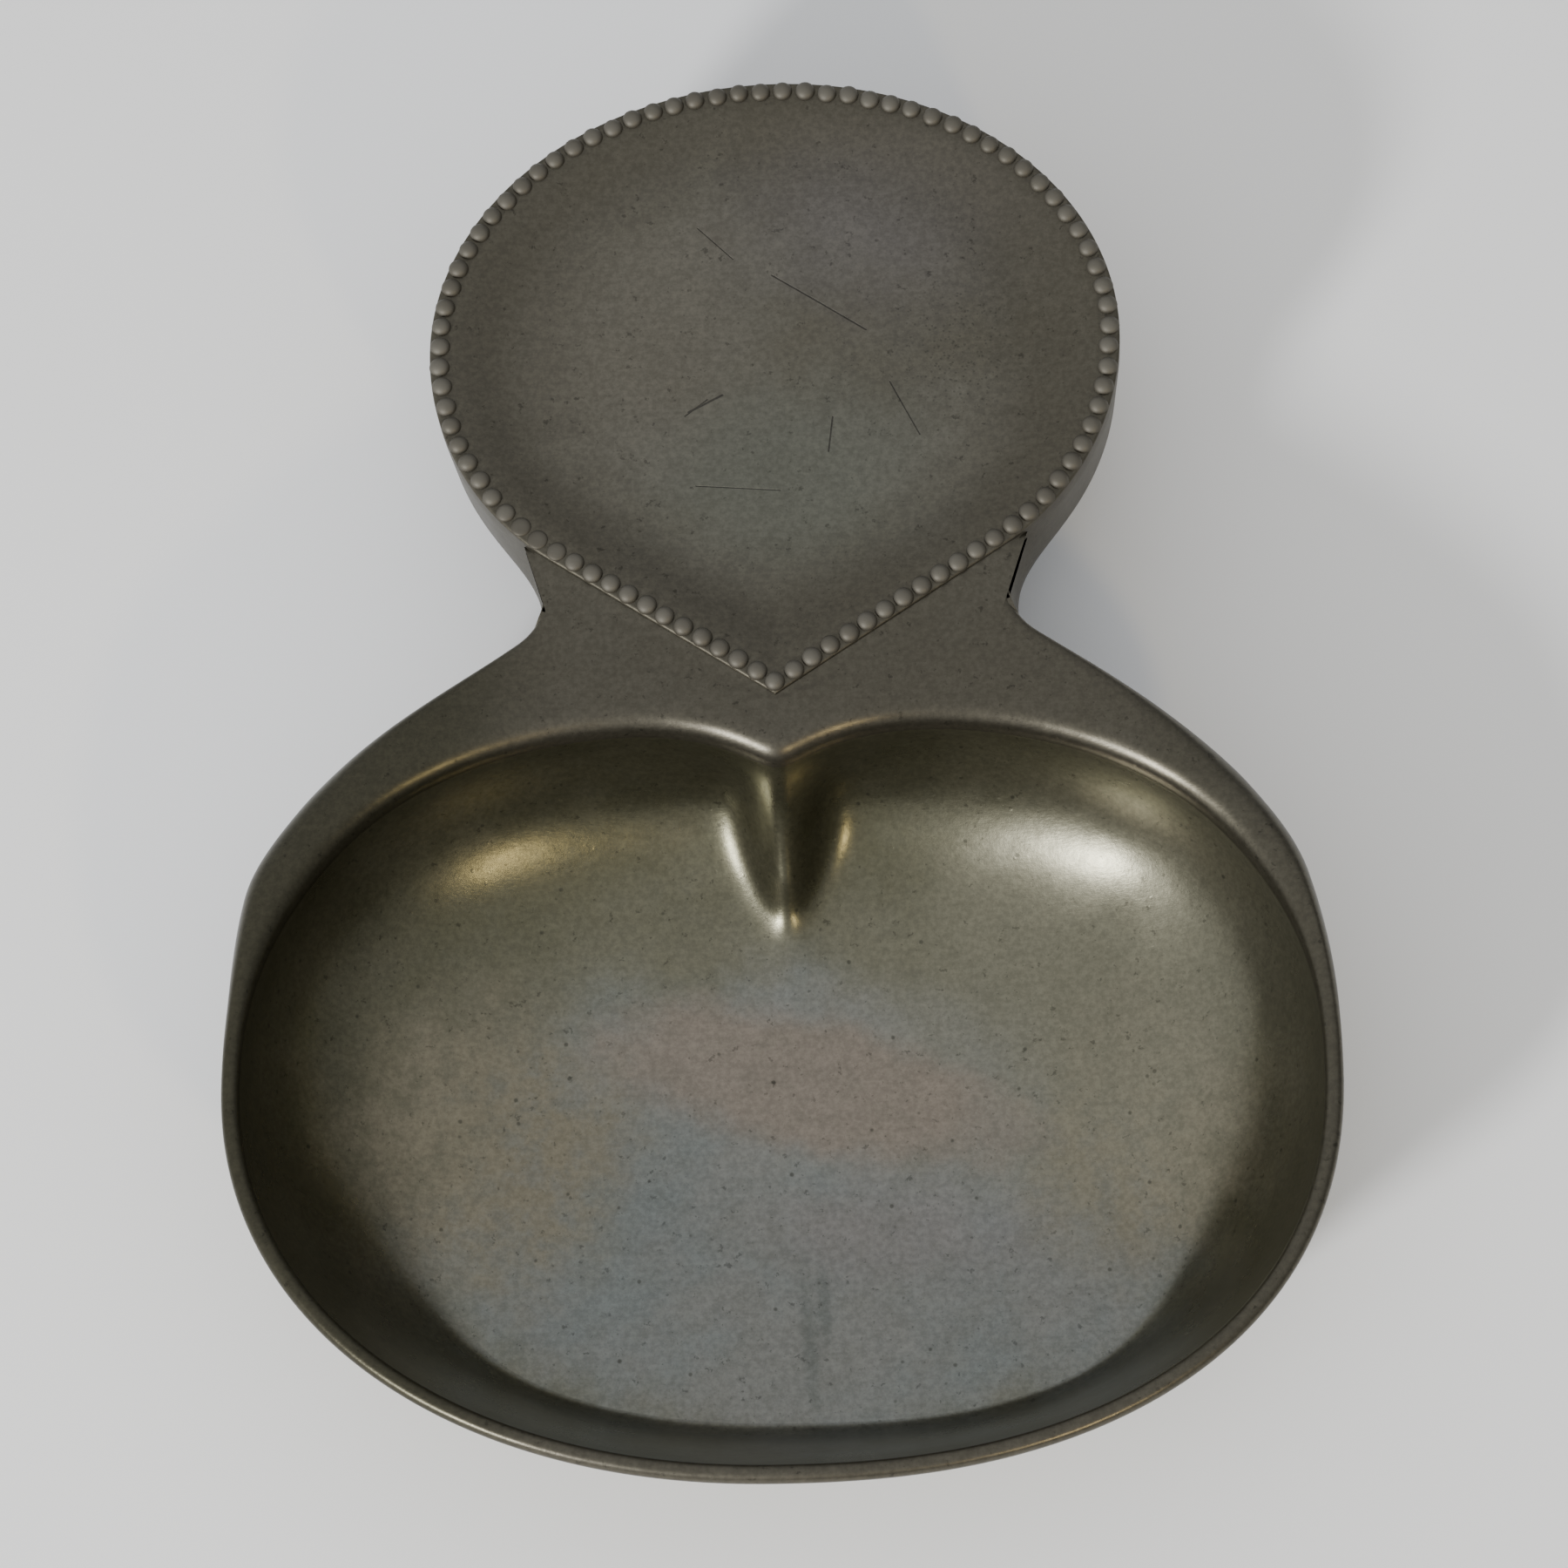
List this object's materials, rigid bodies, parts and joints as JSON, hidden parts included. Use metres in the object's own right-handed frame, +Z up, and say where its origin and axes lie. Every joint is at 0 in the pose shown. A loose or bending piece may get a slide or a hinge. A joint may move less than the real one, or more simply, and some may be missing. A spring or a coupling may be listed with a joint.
{
  "type": "sauce boat",
  "caption": "Open pewter sauce boat: a heart-shaped bowl with a cleft at the back and a round, dished, bead-edged handle plate.",
  "frame": {"origin": "centre of the overall length and width, on the surface that the bowl stands on", "axes": "+Y towards the handle plate, +Z up out of the bowl, X across; the part is symmetric about X = 0"},
  "size_m": [0.142, 0.195, 0.0325],
  "materials": {
    "bowl_pewter": "satin",
    "handle_pewter": "satin",
    "bead_pewter": "satin"
  },
  "bodies": {
    "root": {"bowl": "bowl_pewter", "rim_wire": "bowl_pewter", "shoulder_collar": "handle_pewter", "handle_plate": "handle_pewter", "handle_skirt": "handle_pewter", "bead_arc": "bead_pewter", "bead_leg_left": "bead_pewter", "bead_leg_right": "bead_pewter", "point_bead": "bead_pewter"}
  },
  "joints": []
}
